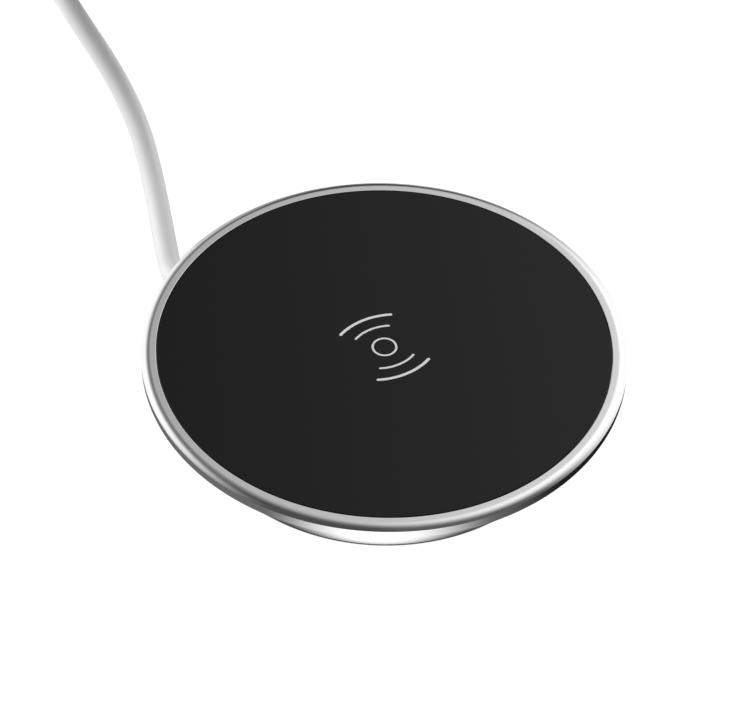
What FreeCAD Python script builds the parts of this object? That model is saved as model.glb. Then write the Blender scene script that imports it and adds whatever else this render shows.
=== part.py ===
"""Round wireless charging pad with a fixed USB cable, as an assembly of separate pieces.

Units are millimetres. The origin is the centre of the pad's underside, +Z points up out of the glass and
-Y points towards the user. The cable leaves at the back left.
"""

import FreeCAD, Part
import math
import os

import Sketcher

Vector = FreeCAD.Vector
UP = Vector(0, 0, 1)

# Driving dimensions, kept as cells of the spreadsheet "Sizes".
DIMENSIONS = {
    # the pad's outside
    "pad_height": 13.2,
    "glass_radius": 37.5,
    "glass_thickness": 1.1,
    "glass_chamfer": 0.12,
    "rim_radius": 40.0,
    "lip_radius": 38.5,
    "rim_clearance": 0.06,
    "crease_height": 12.62,
    "skirt_height": 11.0,
    "shell_base_radius": 31.95,
    "shell_lift": 0.4,
    "shell_wall": 1.62,
    "shell_edge_rounding": 0.35,
    "shell_opening_radius": 28.8,
    # glass seat
    "tape_thickness": 0.2,
    "tape_width": 1.3,
    "seat_radius": 36.0,
    "rim_plug_radius": 38.7,
    "rim_plug_height": 10.9,
    # base cover, foot and base screws
    "base_thickness": 1.4,
    "base_radius": 30.2,
    "foot_inner_radius": 24.0,
    "foot_outer_radius": 29.0,
    "foot_recess": 0.4,
    "base_screw_circle": 26.5,
    "base_screw_radius": 1.0,
    "base_screw_head_radius": 1.9,
    "base_screw_head_height": 0.7,
    # carrier frame
    "carrier_radius": 36.5,
    "carrier_bottom": 8.7,
    "carrier_thickness": 0.9,
    "carrier_rim_width": 1.2,
    "carrier_rim_top": 10.9,
    "leg_radius": 2.2,
    "post_radius": 2.0,
    "lead_hole_radius": 1.2,
    "sensor_hole_radius": 2.0,
    # ferrite, coil and temperature sensor
    "ferrite_radius": 25.0,
    "ferrite_thickness": 0.7,
    "coil_tape_thickness": 0.1,
    "coil_tape_inner": 9.6,
    "coil_tape_outer": 22.4,
    "coil_start_radius": 10.25,
    "coil_pitch": 1.15,
    "coil_wire_radius": 0.55,
    "lead_bend": 1.0,
    "sensor_radius": 1.4,
    "sensor_height": 1.2,
    "sensor_lead_radius": 0.3,
    # circuit board and what is on it
    "board_radius": 23.4,
    "board_bottom": 5.0,
    "board_thickness": 1.0,
    "board_screw_circle": 18.5,
    "board_screw_radius": 0.8,
    "board_screw_head_radius": 1.6,
    "board_screw_head_height": 1.0,
    # cable, boot and clamp
    "cable_radius": 2.0,
    "exit_height": 4.9,
    "boot_wall_radius": 2.6,
    "boot_tip_radius": 2.3,
    "boot_reach": 5.0,
    "boot_collar_radius": 3.1,
    "boot_collar_length": 1.0,
    "boot_inner_length": 3.4,
    "boot_clearance": 0.05,
    "inner_cable_length": 5.4,
    "clamp_gap": 2.7,
    "clamp_width": 9.6,
    "clamp_depth": 2.4,
    "clamp_bottom": 3.7,
    "clamp_top": 6.2,
    "clamp_post_radius": 1.4,
    "clamp_screw_spacing": 3.6,
    "clamp_screw_radius": 0.6,
    "clamp_screw_head_radius": 1.2,
    "clamp_screw_head_height": 0.8,
    "wire_radius": 0.5,
    # put-away turns and their tie
    "coil_middle_radius": 22.0,
    "turns_per_layer": 3.0,
    "coil_layers": 2.0,
    "coil_lift": 0.5,
    "tie_width": 6.0,
    "tie_thickness": 0.5,
    # USB-A plug
    "plug_neck_length": 6.0,
    "plug_neck_radius": 2.9,
    "plug_neck_root_radius": 3.5,
    "plug_body_length": 20.0,
    "plug_body_width": 15.6,
    "plug_body_height": 7.8,
    "plug_body_rounding": 1.8,
    "plug_shell_width": 12.0,
    "plug_shell_height": 4.5,
    "plug_shell_reach": 12.0,
    "plug_shell_held": 5.0,
    "plug_shell_wall": 0.3,
    "plug_window": 2.2,
    "plug_tongue_height": 1.84,
    "plug_contact_height": 0.15,
}

# Where the boot and the cable leave the shell, in degrees.
EXIT_PLACE_ANGLE = 150.5
EXIT_HEADING = 127.0
EXIT_TILT = 12.0

# The cable's route from the boot's tip to the put-away turns, after its first two points (x, y, z).
CABLE_ROUTE = [
    (-37.3, 27.8, 2.4),
    (-38.25, 33.0, 2.0),
    (-40.2, 43.0, 2.0),
    (-42.15, 52.5, 2.0),
    (-45.15, 64.5, 2.0),
    (-50.75, 78.5, 2.0),
    (-60.1, 96.0, 2.1),
    (-70.7, 117.6, 2.5),
]
FIRST_RUN = 3.2
TURNS_CENTRE = (-46.5, 132.0)

# The cable's route from the put-away turns to the plug.
TAIL_ROUTE = [
    (-39.2, 159.0, 6.5),
    (-28.6, 156.2, 5.7),
    (-18.6, 151.6, 3.3),
    (-10.3, 146.0, 2.3),
    (-4.0, 141.1, 3.9),
    (-0.1, 138.0, 3.9),
]
TIE_ANGLE = -20.0

ARC_SHARE = 0.45
COIL_HALF_TURNS = 20
LEG_ANGLES = (15.0, 105.0, 195.0, 285.0)
POST_ANGLES = (75.0, 180.0, 300.0)

doc = FreeCAD.newDocument("charging_pad")


class Length(float):
    """A length that also knows the spreadsheet formula it comes from."""

    def __new__(cls, value, formula):
        made = super().__new__(cls, value)
        made.formula = formula
        return made

    def __add__(self, other):
        return Length(float(self) + float(other), f"({self.formula} + {formula_of(other)})")

    def __sub__(self, other):
        return Length(float(self) - float(other), f"({self.formula} - {formula_of(other)})")

    def __mul__(self, other):
        return Length(float(self) * float(other), f"({self.formula} * {formula_of(other)})")

    def __truediv__(self, other):
        return Length(float(self) / float(other), f"({self.formula} / {formula_of(other)})")

    def __neg__(self):
        return Length(-float(self), f"(-{self.formula})")


def formula_of(value):
    return value.formula if isinstance(value, Length) else f"{float(value):.6f}"


def fixed(value):
    """A plain number as a Length, for sums that start with it."""
    return Length(value, f"{float(value):.6f}")


def make_sizes():
    """Puts the driving dimensions in the spreadsheet and returns them by name."""
    sheet = doc.addObject("Spreadsheet::Sheet", "Sizes")
    for row, (name, value) in enumerate(DIMENSIONS.items(), start=1):
        sheet.set(f"A{row}", name)
        sheet.set(f"B{row}", str(value))
        sheet.setAlias(f"B{row}", name)
    doc.recompute()
    return {name: Length(value, f"Sizes.{name}") for name, value in DIMENSIONS.items()}


SIZE = make_sizes()


# ---------------------------------------------------------------- helpers


def bind(item, **lengths):
    """Binds an object's properties to the spreadsheet."""
    for name, length in lengths.items():
        item.setExpression(name, formula_of(length))
    return item


def place(item, x=0.0, y=0.0, z=0.0, spin=0.0):
    """Moves an object, with any coordinate that is a Length bound to the spreadsheet."""
    item.Placement = FreeCAD.Placement(Vector(x, y, z), FreeCAD.Rotation(UP, spin))
    for axis, value in (("x", x), ("y", y), ("z", z)):
        if isinstance(value, Length):
            item.setExpression(f"Placement.Base.{axis}", value.formula)
    return item


def cylinder(label, radius, height, x=0.0, y=0.0, z=0.0):
    return place(bind(doc.addObject("Part::Cylinder", label), Radius=radius, Height=height), x, y, z)


def box(label, length, width, height, x=0.0, y=0.0, z=0.0):
    """A block whose own X starts at x, and which is centred on y."""
    made = bind(doc.addObject("Part::Box", label), Length=length, Width=width, Height=height)
    return place(made, x, fixed(y) - width / 2, z)


def cut(label, base, *tools):
    """Base with the tools taken out of it."""
    for number, tool in enumerate(tools, start=1):
        made = doc.addObject("Part::Cut", label if number == len(tools) else f"{label}_cut{number}")
        made.Base = base
        made.Tool = tool
        base = made
    return base


def fuse(label, *pieces):
    made = doc.addObject("Part::MultiFuse", label)
    made.Shapes = list(pieces)
    made.Refine = True
    return made


def group(label, *pieces):
    """Identical pieces that share one node."""
    made = doc.addObject("Part::Compound", label)
    made.Links = list(pieces)
    return made


def on_circle(radius, angle):
    """x and y of the point at that angle on a circle about the pad's axis."""
    turn = math.radians(angle)
    return radius * math.cos(turn), radius * math.sin(turn)


def origin_plane(body, role):
    return next(item for item in body.Origin.OriginFeatures if item.Role == role)


def arc_middle(start, end, radius):
    """The middle of the arc of that radius that bulges to the left of the way from start to end."""
    chord = end - start
    half = chord.Length / 2
    rise = radius - math.sqrt(radius * radius - half * half)
    left = Vector(-chord.y, chord.x, 0) / chord.Length
    return (start + end) / 2 + left * rise


def turned(label, outline):
    """A body turned about the pad's axis from its (radius, height) corners.

    A third value in a corner is the radius of the outward arc from it to the next corner. An outline with an
    arc goes clockwise.
    """
    body = doc.addObject("PartDesign::Body", label)
    sketch = body.newObject("Sketcher::SketchObject", f"{label}_outline")
    sketch.AttachmentSupport = [(origin_plane(body, "XZ_Plane"), "")]
    sketch.MapMode = "FlatFace"
    corners = [Vector(corner[0], corner[1], 0) for corner in outline]
    ends = []
    for number, corner in enumerate(outline):
        start = corners[number]
        end = corners[(number + 1) % len(corners)]
        if len(corner) == 3:
            side = sketch.addGeometry(Part.Arc(end, arc_middle(start, end, corner[2]), start))
            ends.append((2, 1))
            radius = sketch.addConstraint(Sketcher.Constraint("Radius", side, float(corner[2])))
            sketch.setExpression(f"Constraints[{radius}]", formula_of(corner[2]))
        else:
            sketch.addGeometry(Part.LineSegment(start, end))
            ends.append((1, 2))
    for number, corner in enumerate(outline):
        after = (number + 1) % len(outline)
        first, last = ends[number]
        sketch.addConstraint(Sketcher.Constraint("Coincident", number, last, after, ends[after][0]))
        for kind, axis, value in (("DistanceX", -2, corner[0]), ("DistanceY", -1, corner[1])):
            if abs(value) < 1e-9:
                sketch.addConstraint(Sketcher.Constraint("PointOnObject", number, first, axis))
                continue
            held = sketch.addConstraint(Sketcher.Constraint(kind, -1, 1, number, first, float(value)))
            sketch.setExpression(f"Constraints[{held}]", formula_of(value))
    turn = body.newObject("PartDesign::Revolution", f"{label}_turn")
    turn.Profile = sketch
    turn.ReferenceAxis = (sketch, ["V_Axis"])
    turn.Angle = 360
    doc.recompute()
    return body


def ring(label, inner, outer, bottom, top):
    """A plain flat ring, or a disc where inner is zero."""
    return turned(label, [(inner, bottom), (outer, bottom), (outer, top), (inner, top)])


def round_circles(body, places, radius):
    """Rounds a turned body's circular edges at those (radius, height) places."""
    names = []
    for number, edge in enumerate(body.Shape.Edges, start=1):
        if not isinstance(edge.Curve, Part.Circle):
            continue
        spot = (edge.Curve.Radius, edge.Curve.Center.z)
        if any(math.dist(spot, (float(r), float(z))) < 1e-4 for r, z in places):
            names.append(f"Edge{number}")
    before = body.Tip
    rounding = body.newObject("PartDesign::Fillet", f"{body.Label}_rounding")
    rounding.Base = (before, names)
    rounding.setExpression("Radius", formula_of(radius))
    doc.recompute()
    return body


def bore(body, radius, spots):
    """Cuts straight round holes up through a body at those (x, y) spots."""
    sketch = body.newObject("Sketcher::SketchObject", f"{body.Label}_holes")
    sketch.AttachmentSupport = [(origin_plane(body, "XY_Plane"), "")]
    sketch.MapMode = "FlatFace"
    for x, y in spots:
        circle = sketch.addGeometry(Part.Circle(Vector(x, y, 0), UP, float(radius)))
        size = sketch.addConstraint(Sketcher.Constraint("Radius", circle, float(radius)))
        sketch.setExpression(f"Constraints[{size}]", formula_of(radius))
        sketch.addConstraint(Sketcher.Constraint("DistanceX", -1, 1, circle, 3, x))
        sketch.addConstraint(Sketcher.Constraint("DistanceY", -1, 1, circle, 3, y))
    before = body.Shape.Volume
    holes = body.newObject("PartDesign::Pocket", f"{body.Label}_bores")
    holes.Profile = sketch
    holes.Type = "ThroughAll"
    holes.Midplane = True
    doc.recompute()
    if body.Shape.Volume >= before:
        raise RuntimeError(f"the holes in {body.Label} cut nothing")
    return body


def rounded_route(points):
    """The edges of straight runs joined by tangent arcs, and the radii of those arcs."""
    corners = [Vector(*point) for point in points]
    edges = []
    radii = []
    start = corners[0]
    for before, here, after in zip(corners, corners[1:], corners[2:]):
        back = (before - here) / (before - here).Length
        ahead = (after - here) / (after - here).Length
        half_turn = (math.pi - back.getAngle(ahead)) / 2
        reach = ARC_SHARE * min((before - here).Length, (after - here).Length)
        radius = reach / math.tan(half_turn)
        inward = (back + ahead) / (back + ahead).Length
        middle = here + inward * (radius / math.cos(half_turn) - radius)
        edges.append(Part.LineSegment(start, here + back * reach).toShape())
        edges.append(Part.Arc(here + back * reach, middle, here + ahead * reach).toShape())
        radii.append(round(radius, 1))
        start = here + ahead * reach
    edges.append(Part.LineSegment(start, corners[-1]).toShape())
    return edges, radii


def swept(label, edges, radius):
    """A round solid along joined edges."""
    route = doc.addObject("Part::Feature", f"{label}_route")
    route.Shape = Part.Wire(edges)
    section = bind(doc.addObject("Part::Circle", f"{label}_section"), Radius=radius)
    first = route.Shape.OrderedEdges[0]
    heading = first.tangentAt(first.FirstParameter)
    section.Placement = FreeCAD.Placement(first.valueAt(first.FirstParameter), FreeCAD.Rotation(UP, heading))
    made = doc.addObject("Part::Sweep", label)
    made.Sections = [section]
    made.Spine = (route, [f"Edge{number + 1}" for number in range(len(edges))])
    made.Solid = True
    made.Frenet = False
    doc.recompute()
    wanted = math.pi * float(radius) ** 2 * route.Shape.Length
    share = made.Shape.Volume / wanted
    print(f"{label}: {route.Shape.Length:.1f} mm long, volume {share:.4f} of section x length")
    return made


def cable_run(label, points, radius):
    edges, radii = rounded_route(points)
    print(f"{label}: arc radii {radii}")
    return swept(label, edges, radius)


def exit_frame():
    """The place on the shell's wall where the cable leaves, and the way it points."""
    slope = (SIZE["rim_radius"] - SIZE["shell_base_radius"]) / (SIZE["skirt_height"] - SIZE["shell_lift"])
    radius = SIZE["shell_base_radius"] + (SIZE["exit_height"] - SIZE["shell_lift"]) * slope
    x, y = on_circle(float(radius), EXIT_PLACE_ANGLE)
    heading = math.radians(EXIT_HEADING)
    tilt = math.radians(EXIT_TILT)
    way = Vector(
        math.cos(tilt) * math.cos(heading),
        math.cos(tilt) * math.sin(heading),
        -math.sin(tilt),
    )
    return Vector(x, y, float(SIZE["exit_height"])), way


EXIT, EXIT_WAY = exit_frame()


def along_exit(item, distance=0.0):
    """Stands an object that was made along +Z on the cable's exit line, that far out from the wall."""
    item.Placement = FreeCAD.Placement(EXIT + EXIT_WAY * float(distance), FreeCAD.Rotation(UP, EXIT_WAY))
    return item


# ---------------------------------------------------------------- outside of the pad


def make_glass_top():
    top = SIZE["pad_height"]
    bottom = top - SIZE["glass_thickness"]
    radius = SIZE["glass_radius"]
    chamfer = SIZE["glass_chamfer"]
    return turned(
        "glass_top",
        [(0, bottom), (radius, bottom), (radius, top - chamfer), (radius - chamfer, top), (0, top)],
    )


def make_glass_tape():
    top = SIZE["pad_height"] - SIZE["glass_thickness"]
    inner = SIZE["seat_radius"]
    return ring("glass_tape", inner, inner + SIZE["tape_width"], top - SIZE["tape_thickness"], top)


def make_rim_ring():
    """The bezel: a flat lip flush with the glass, a convex bead outside it and a seat for the glass."""
    top = SIZE["pad_height"]
    seat = top - SIZE["glass_thickness"] - SIZE["tape_thickness"]
    bore_radius = SIZE["glass_radius"] + SIZE["rim_clearance"]
    bead_width = SIZE["rim_radius"] - SIZE["lip_radius"]
    bead_drop = top - SIZE["crease_height"]
    bead_radius = (bead_width * bead_width + bead_drop * bead_drop) / (bead_drop * 2)
    return turned(
        "rim_ring",
        [
            (SIZE["seat_radius"], SIZE["rim_plug_height"]),
            (SIZE["seat_radius"], seat),
            (bore_radius, seat),
            (bore_radius, top),
            (SIZE["lip_radius"], top, bead_radius),
            (SIZE["rim_radius"], SIZE["crease_height"]),
            (SIZE["rim_plug_radius"], SIZE["crease_height"]),
            (SIZE["rim_plug_radius"], SIZE["rim_plug_height"]),
        ],
    )


def make_body_shell():
    """The housing: a short upright skirt, a cone in to the base, and a shoulder that the base cover meets."""
    foot = SIZE["shell_lift"]
    shoulder = foot + SIZE["base_thickness"]
    slope = (SIZE["rim_radius"] - SIZE["shell_base_radius"]) / (SIZE["skirt_height"] - foot)
    inside = SIZE["shell_base_radius"] - SIZE["shell_wall"]
    shelf_height = shoulder + 0.5
    plug_bore = SIZE["rim_plug_radius"] + SIZE["rim_clearance"]
    base_bore = SIZE["base_radius"] + SIZE["boot_clearance"]
    shell = turned(
        "shell_blank",
        [
            (base_bore, foot),
            (base_bore, shoulder),
            (SIZE["shell_opening_radius"], shoulder),
            (SIZE["shell_opening_radius"], shelf_height),
            (inside + (shelf_height - foot) * slope, shelf_height),
            (inside + (SIZE["rim_plug_height"] - foot) * slope, SIZE["rim_plug_height"]),
            (plug_bore, SIZE["rim_plug_height"]),
            (plug_bore, SIZE["crease_height"]),
            (SIZE["rim_radius"], SIZE["crease_height"]),
            (SIZE["rim_radius"], SIZE["skirt_height"]),
            (SIZE["shell_base_radius"], foot),
        ],
    )
    outer_edges = [(SIZE["shell_base_radius"], foot), (SIZE["rim_radius"], SIZE["skirt_height"])]
    round_circles(shell, outer_edges, SIZE["shell_edge_rounding"])
    hole = cylinder("cable_hole", SIZE["boot_wall_radius"] + SIZE["boot_clearance"], 16)
    along_exit(hole, -8)
    return cut("body_shell", shell, hole)


def make_base_plate():
    """The bottom cover, with a recess for the foot ring and its screws' holes under the ring."""
    foot = SIZE["shell_lift"]
    recess = foot + SIZE["foot_recess"]
    cover = turned(
        "base_blank",
        [
            (0, foot),
            (SIZE["foot_inner_radius"], foot),
            (SIZE["foot_inner_radius"], recess),
            (SIZE["foot_outer_radius"], recess),
            (SIZE["foot_outer_radius"], foot),
            (SIZE["base_radius"], foot),
            (SIZE["base_radius"], foot + SIZE["base_thickness"]),
            (0, foot + SIZE["base_thickness"]),
        ],
    )
    spots = [on_circle(DIMENSIONS["base_screw_circle"], angle) for angle in LEG_ANGLES]
    bore(cover, SIZE["base_screw_radius"], spots)
    head = (SIZE["base_screw_head_radius"], SIZE["base_screw_head_height"])
    sinks = [cylinder(f"screw_sink_{number}", *head, x, y, recess) for number, (x, y) in enumerate(spots)]
    return cut("base_plate", cover, fuse("screw_sinks", *sinks))


def make_foot_ring():
    return ring(
        "foot_ring",
        SIZE["foot_inner_radius"],
        SIZE["foot_outer_radius"],
        fixed(0),
        SIZE["shell_lift"] + SIZE["foot_recess"],
    )


def screws(label, spots, head_bottom, head, shank):
    """Round-head screws, shank up, with a cross recess. head and shank are (radius, height)."""
    made = []
    for number, (x, y) in enumerate(spots):
        name = f"{label}_{number}"
        pieces = [
            cylinder(f"{name}_head", head[0], head[1], x, y, head_bottom),
            cylinder(f"{name}_shank", shank[0], shank[1], x, y, head_bottom + head[1]),
        ]
        whole = fuse(f"{name}_blank", *pieces)
        reach = head[0] * 1.2
        bars = [
            box(f"{name}_slot_{turn}", *sides, head[1] / 2, fixed(x) - sides[0] / 2, y, head_bottom)
            for turn, sides in enumerate(((reach, reach / 4), (reach / 4, reach)))
        ]
        made.append(cut(name, whole, fuse(f"{name}_cross", *bars)))
    return group(label, *made)


def make_base_screws():
    spots = [on_circle(DIMENSIONS["base_screw_circle"], angle) for angle in LEG_ANGLES]
    return screws(
        "base_screws",
        spots,
        SIZE["shell_lift"] + SIZE["foot_recess"],
        (SIZE["base_screw_head_radius"], SIZE["base_screw_head_height"]),
        (SIZE["base_screw_radius"], fixed(5.0)),
    )


# ---------------------------------------------------------------- inside of the pad


def lead_spots():
    """Where the coil's two leads go down through the ferrite and the frame."""
    inner = DIMENSIONS["coil_start_radius"]
    outer = inner + DIMENSIONS["coil_pitch"] * COIL_HALF_TURNS / 2
    drop = DIMENSIONS["lead_bend"]
    return (inner, -drop), (outer, drop)


def clamp_spots():
    """The clamp's middle and its two screws, in the plane of the board."""
    back = -DIMENSIONS["boot_inner_length"] - DIMENSIONS["clamp_gap"] - DIMENSIONS["clamp_depth"] / 2
    middle = EXIT + EXIT_WAY * back
    side = UP.cross(EXIT_WAY)
    side.normalize()
    reach = DIMENSIONS["clamp_screw_spacing"]
    return middle, [(middle.x + side.x * way, middle.y + side.y * way) for way in (reach, -reach)]


def make_coil_carrier():
    """The frame under the glass: a disc with an upright rim, and legs and posts for the screws."""
    bottom = SIZE["carrier_bottom"]
    floor = bottom + SIZE["carrier_thickness"]
    radius = SIZE["carrier_radius"]
    disc = turned(
        "carrier_disc",
        [
            (0, bottom),
            (radius, bottom),
            (radius, SIZE["carrier_rim_top"]),
            (radius - SIZE["carrier_rim_width"], SIZE["carrier_rim_top"]),
            (radius - SIZE["carrier_rim_width"], floor),
            (0, floor),
        ],
    )
    base_top = SIZE["shell_lift"] + SIZE["base_thickness"]
    board_top = SIZE["board_bottom"] + SIZE["board_thickness"]
    leg_spots = [on_circle(DIMENSIONS["base_screw_circle"], angle) for angle in LEG_ANGLES]
    post_spots = [on_circle(DIMENSIONS["board_screw_circle"], angle) for angle in POST_ANGLES]
    post_foot = SIZE["clamp_top"]
    post_hole = SIZE["clamp_screw_radius"]
    stands = [
        ("leg", leg_spots, SIZE["leg_radius"], base_top, SIZE["base_screw_radius"], 5.2),
        ("post", post_spots, SIZE["post_radius"], board_top, SIZE["board_screw_radius"], 2.2),
        ("clamp_post", clamp_spots()[1], SIZE["clamp_post_radius"], post_foot, post_hole, 2.2),
    ]
    overlap = 0.3
    adds = [disc]
    takes = []
    for label, spots, outer, foot, hole, depth in stands:
        for number, (x, y) in enumerate(spots):
            adds.append(cylinder(f"{label}_{number}", outer, bottom - foot + overlap, x, y, foot))
            takes.append(cylinder(f"{label}_bore_{number}", hole, depth, x, y, foot))
    for number, (x, y) in enumerate(lead_spots()):
        takes.append(cylinder(f"carrier_lead_hole_{number}", SIZE["lead_hole_radius"], 2, x, y, bottom - 0.5))
    takes.append(cylinder("carrier_sensor_hole", SIZE["sensor_hole_radius"], 2, 0, 0, bottom - 0.5))
    return cut("coil_carrier", fuse("carrier_blank", *adds), fuse("carrier_holes", *takes))


def make_ferrite_sheet():
    floor = SIZE["carrier_bottom"] + SIZE["carrier_thickness"]
    top = floor + SIZE["ferrite_thickness"]
    sheet = ring("ferrite_sheet", SIZE["sensor_hole_radius"], SIZE["ferrite_radius"], floor, top)
    return bore(sheet, SIZE["lead_hole_radius"], lead_spots())


def ferrite_top():
    return SIZE["carrier_bottom"] + SIZE["carrier_thickness"] + SIZE["ferrite_thickness"]


def make_coil_tape():
    bottom = ferrite_top()
    tape = ring(
        "coil_tape",
        SIZE["coil_tape_inner"],
        SIZE["coil_tape_outer"],
        bottom,
        bottom + SIZE["coil_tape_thickness"],
    )
    return bore(tape, SIZE["lead_hole_radius"], lead_spots())


def coil_height():
    """Height of the coil wire's middle."""
    return ferrite_top() + SIZE["coil_tape_thickness"] + SIZE["coil_wire_radius"]


def make_charging_coil():
    """A flat spiral of half circles about two centres, each half circle half a pitch larger than the last."""
    height = float(coil_height())
    step = DIMENSIONS["coil_pitch"] / 2
    edges = []
    for number in range(COIL_HALF_TURNS):
        radius = DIMENSIONS["coil_start_radius"] + number * step
        outward = 1 if number % 2 == 0 else -1
        centre = Vector(0 if outward == 1 else step, 0, height)
        ways = [Vector(outward, 0, 0), Vector(0, outward, 0), Vector(-outward, 0, 0)]
        edges.append(Part.Arc(*[centre + way * radius for way in ways]).toShape())
    return swept("charging_coil", edges, SIZE["coil_wire_radius"])


def make_coil_leads():
    """The coil's two ends, bent down through the ferrite to the board."""
    height = float(coil_height())
    bend = DIMENSIONS["lead_bend"]
    board_top = DIMENSIONS["board_bottom"] + DIMENSIONS["board_thickness"]
    leads = []
    for number, (x, y) in enumerate(lead_spots()):
        start = Vector(x, 0, height)
        end = Vector(x, y, height - bend)
        middle = Vector(x, y * math.sin(math.pi / 4), height - bend * (1 - math.cos(math.pi / 4)))
        elbow = Part.Arc(start, middle, end).toShape()
        drop = Part.LineSegment(end, Vector(x, y, board_top)).toShape()
        leads.append(swept(f"coil_lead_{number}", [elbow, drop], SIZE["coil_wire_radius"]))
    return group("coil_leads", *leads)


def make_thermistor():
    """A bead in the middle of the coil on two thin leads from the board."""
    board_top = SIZE["board_bottom"] + SIZE["board_thickness"]
    bead = cylinder("sensor_bead", SIZE["sensor_radius"], SIZE["sensor_height"], 0, 0, ferrite_top())
    length = ferrite_top() - board_top + 0.2
    leads = [
        cylinder(f"sensor_lead_{number}", SIZE["sensor_lead_radius"], length, x, 0, board_top)
        for number, x in enumerate((-0.7, 0.7))
    ]
    return fuse("thermistor", bead, *leads)


def make_circuit_board():
    bottom = SIZE["board_bottom"]
    board = ring("circuit_board", 0, SIZE["board_radius"], bottom, bottom + SIZE["board_thickness"])
    spots = [on_circle(DIMENSIONS["board_screw_circle"], angle) for angle in POST_ANGLES]
    return bore(board, SIZE["board_screw_radius"], spots)


def make_board_screws():
    spots = [on_circle(DIMENSIONS["board_screw_circle"], angle) for angle in POST_ANGLES]
    return screws(
        "board_screws",
        spots,
        SIZE["board_bottom"] - SIZE["board_screw_head_height"],
        (SIZE["board_screw_head_radius"], SIZE["board_screw_head_height"]),
        (SIZE["board_screw_radius"], fixed(3.1)),
    )


def chips(label, spots, length, width, height):
    """Equal blocks that stand on the board, one solid each."""
    top = SIZE["board_bottom"] + SIZE["board_thickness"]
    blocks = [
        box(f"{label}_{number}", fixed(length), fixed(width), fixed(height), x - length / 2, y, top)
        for number, (x, y) in enumerate(spots)
    ]
    return group(label, *blocks)


def make_board_parts():
    return [
        chips("controller_chip", [(0.0, -9.0)], 5.0, 5.0, 0.9),
        chips("bridge_mosfets", [(7.0, -10.0), (7.0, -6.0), (11.0, -10.0), (11.0, -6.0)], 3.0, 3.0, 0.9),
        chips("resonant_capacitors", [(12.5, 3.5 + 3.8 * number) for number in range(4)], 4.5, 3.2, 1.8),
        chips("input_capacitors", [(-13.0, -4.0), (-13.0, -7.5), (-13.0, -11.0)], 3.2, 2.5, 1.6),
        chips("input_inductor", [(-8.0, 9.0)], 6.0, 6.0, 2.4),
    ]


# ---------------------------------------------------------------- cable, as far as the pad holds it


def make_strain_relief():
    """The tapered boot: a collar inside the wall, a neck in its hole and a cone outside it."""
    inner = SIZE["boot_inner_length"]
    boot = bind(
        doc.addObject("Part::Cone", "boot_cone"),
        Radius1=SIZE["boot_wall_radius"],
        Radius2=SIZE["boot_tip_radius"],
        Height=SIZE["boot_reach"],
    )
    along_exit(boot)
    neck = cylinder("boot_neck", SIZE["boot_wall_radius"], inner)
    collar = cylinder("boot_collar", SIZE["boot_collar_radius"], SIZE["boot_collar_length"])
    for piece in (neck, collar):
        along_exit(piece, -float(inner))
    cable = cylinder("boot_bore", SIZE["cable_radius"], inner)
    along_exit(cable, -float(inner))
    hollow = cut("boot_hollow", fuse("boot_blank", boot, neck, collar), cable)
    return cut("strain_relief", hollow, doc.getObject("body_shell"))


def make_cable_inner_end():
    length = SIZE["inner_cable_length"] + SIZE["boot_inner_length"]
    return along_exit(cylinder("cable_inner_end", SIZE["cable_radius"], length), -float(length))


def make_cable_clamp(inner_end):
    """A saddle that holds the cable's end against the frame's two posts."""
    middle, spots = clamp_spots()
    height = SIZE["clamp_top"] - SIZE["clamp_bottom"]
    saddle = doc.addObject("Part::Box", "clamp_blank")
    bind(saddle, Length=SIZE["clamp_depth"], Width=SIZE["clamp_width"], Height=height)
    turn = FreeCAD.Rotation(UP, EXIT_HEADING)
    corner = turn.multVec(Vector(-DIMENSIONS["clamp_depth"] / 2, -DIMENSIONS["clamp_width"] / 2, 0))
    saddle.Placement = FreeCAD.Placement(
        Vector(middle.x + corner.x, middle.y + corner.y, float(SIZE["clamp_bottom"])), turn
    )
    hole = (SIZE["clamp_screw_radius"], height + 1)
    start = SIZE["clamp_bottom"] - 0.5
    bores = [cylinder(f"clamp_hole_{number}", *hole, x, y, start) for number, (x, y) in enumerate(spots)]
    return cut("cable_clamp", saddle, inner_end, *bores)


def make_clamp_screws():
    head = SIZE["clamp_screw_head_height"]
    return screws(
        "clamp_screws",
        clamp_spots()[1],
        SIZE["clamp_bottom"] - head,
        (SIZE["clamp_screw_head_radius"], head),
        (SIZE["clamp_screw_radius"], fixed(4.4)),
    )


def make_wires():
    """The two supply wires from the cable's end to pads on the board."""
    board_top = DIMENSIONS["board_bottom"] + DIMENSIONS["board_thickness"]
    length = DIMENSIONS["inner_cable_length"] + DIMENSIONS["boot_inner_length"]
    start = EXIT - EXIT_WAY * length
    side = UP.cross(EXIT_WAY)
    side.normalize()
    made = []
    for label, offset in (("power_wire", -0.8), ("ground_wire", 0.8)):
        first = start + side * offset
        out = first - EXIT_WAY * 1.5
        over = Vector(out.x, out.y, 0) - EXIT_WAY * 3.5 + side * offset
        over.z = board_top + DIMENSIONS["wire_radius"] + 0.4
        pad = over - Vector(EXIT_WAY.x, EXIT_WAY.y, 0) * 3.0 + side * offset
        pad.z = board_top + DIMENSIONS["wire_radius"]
        made.append(cable_run(label, [first, out, over, pad], SIZE["wire_radius"]))
    return made


# ---------------------------------------------------------------- free cable and its plug


def make_cable_tube():
    tip = EXIT + EXIT_WAY * DIMENSIONS["boot_reach"]
    return cable_run("cable_tube", [tip, tip + EXIT_WAY * FIRST_RUN, *CABLE_ROUTE], SIZE["cable_radius"])


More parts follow.
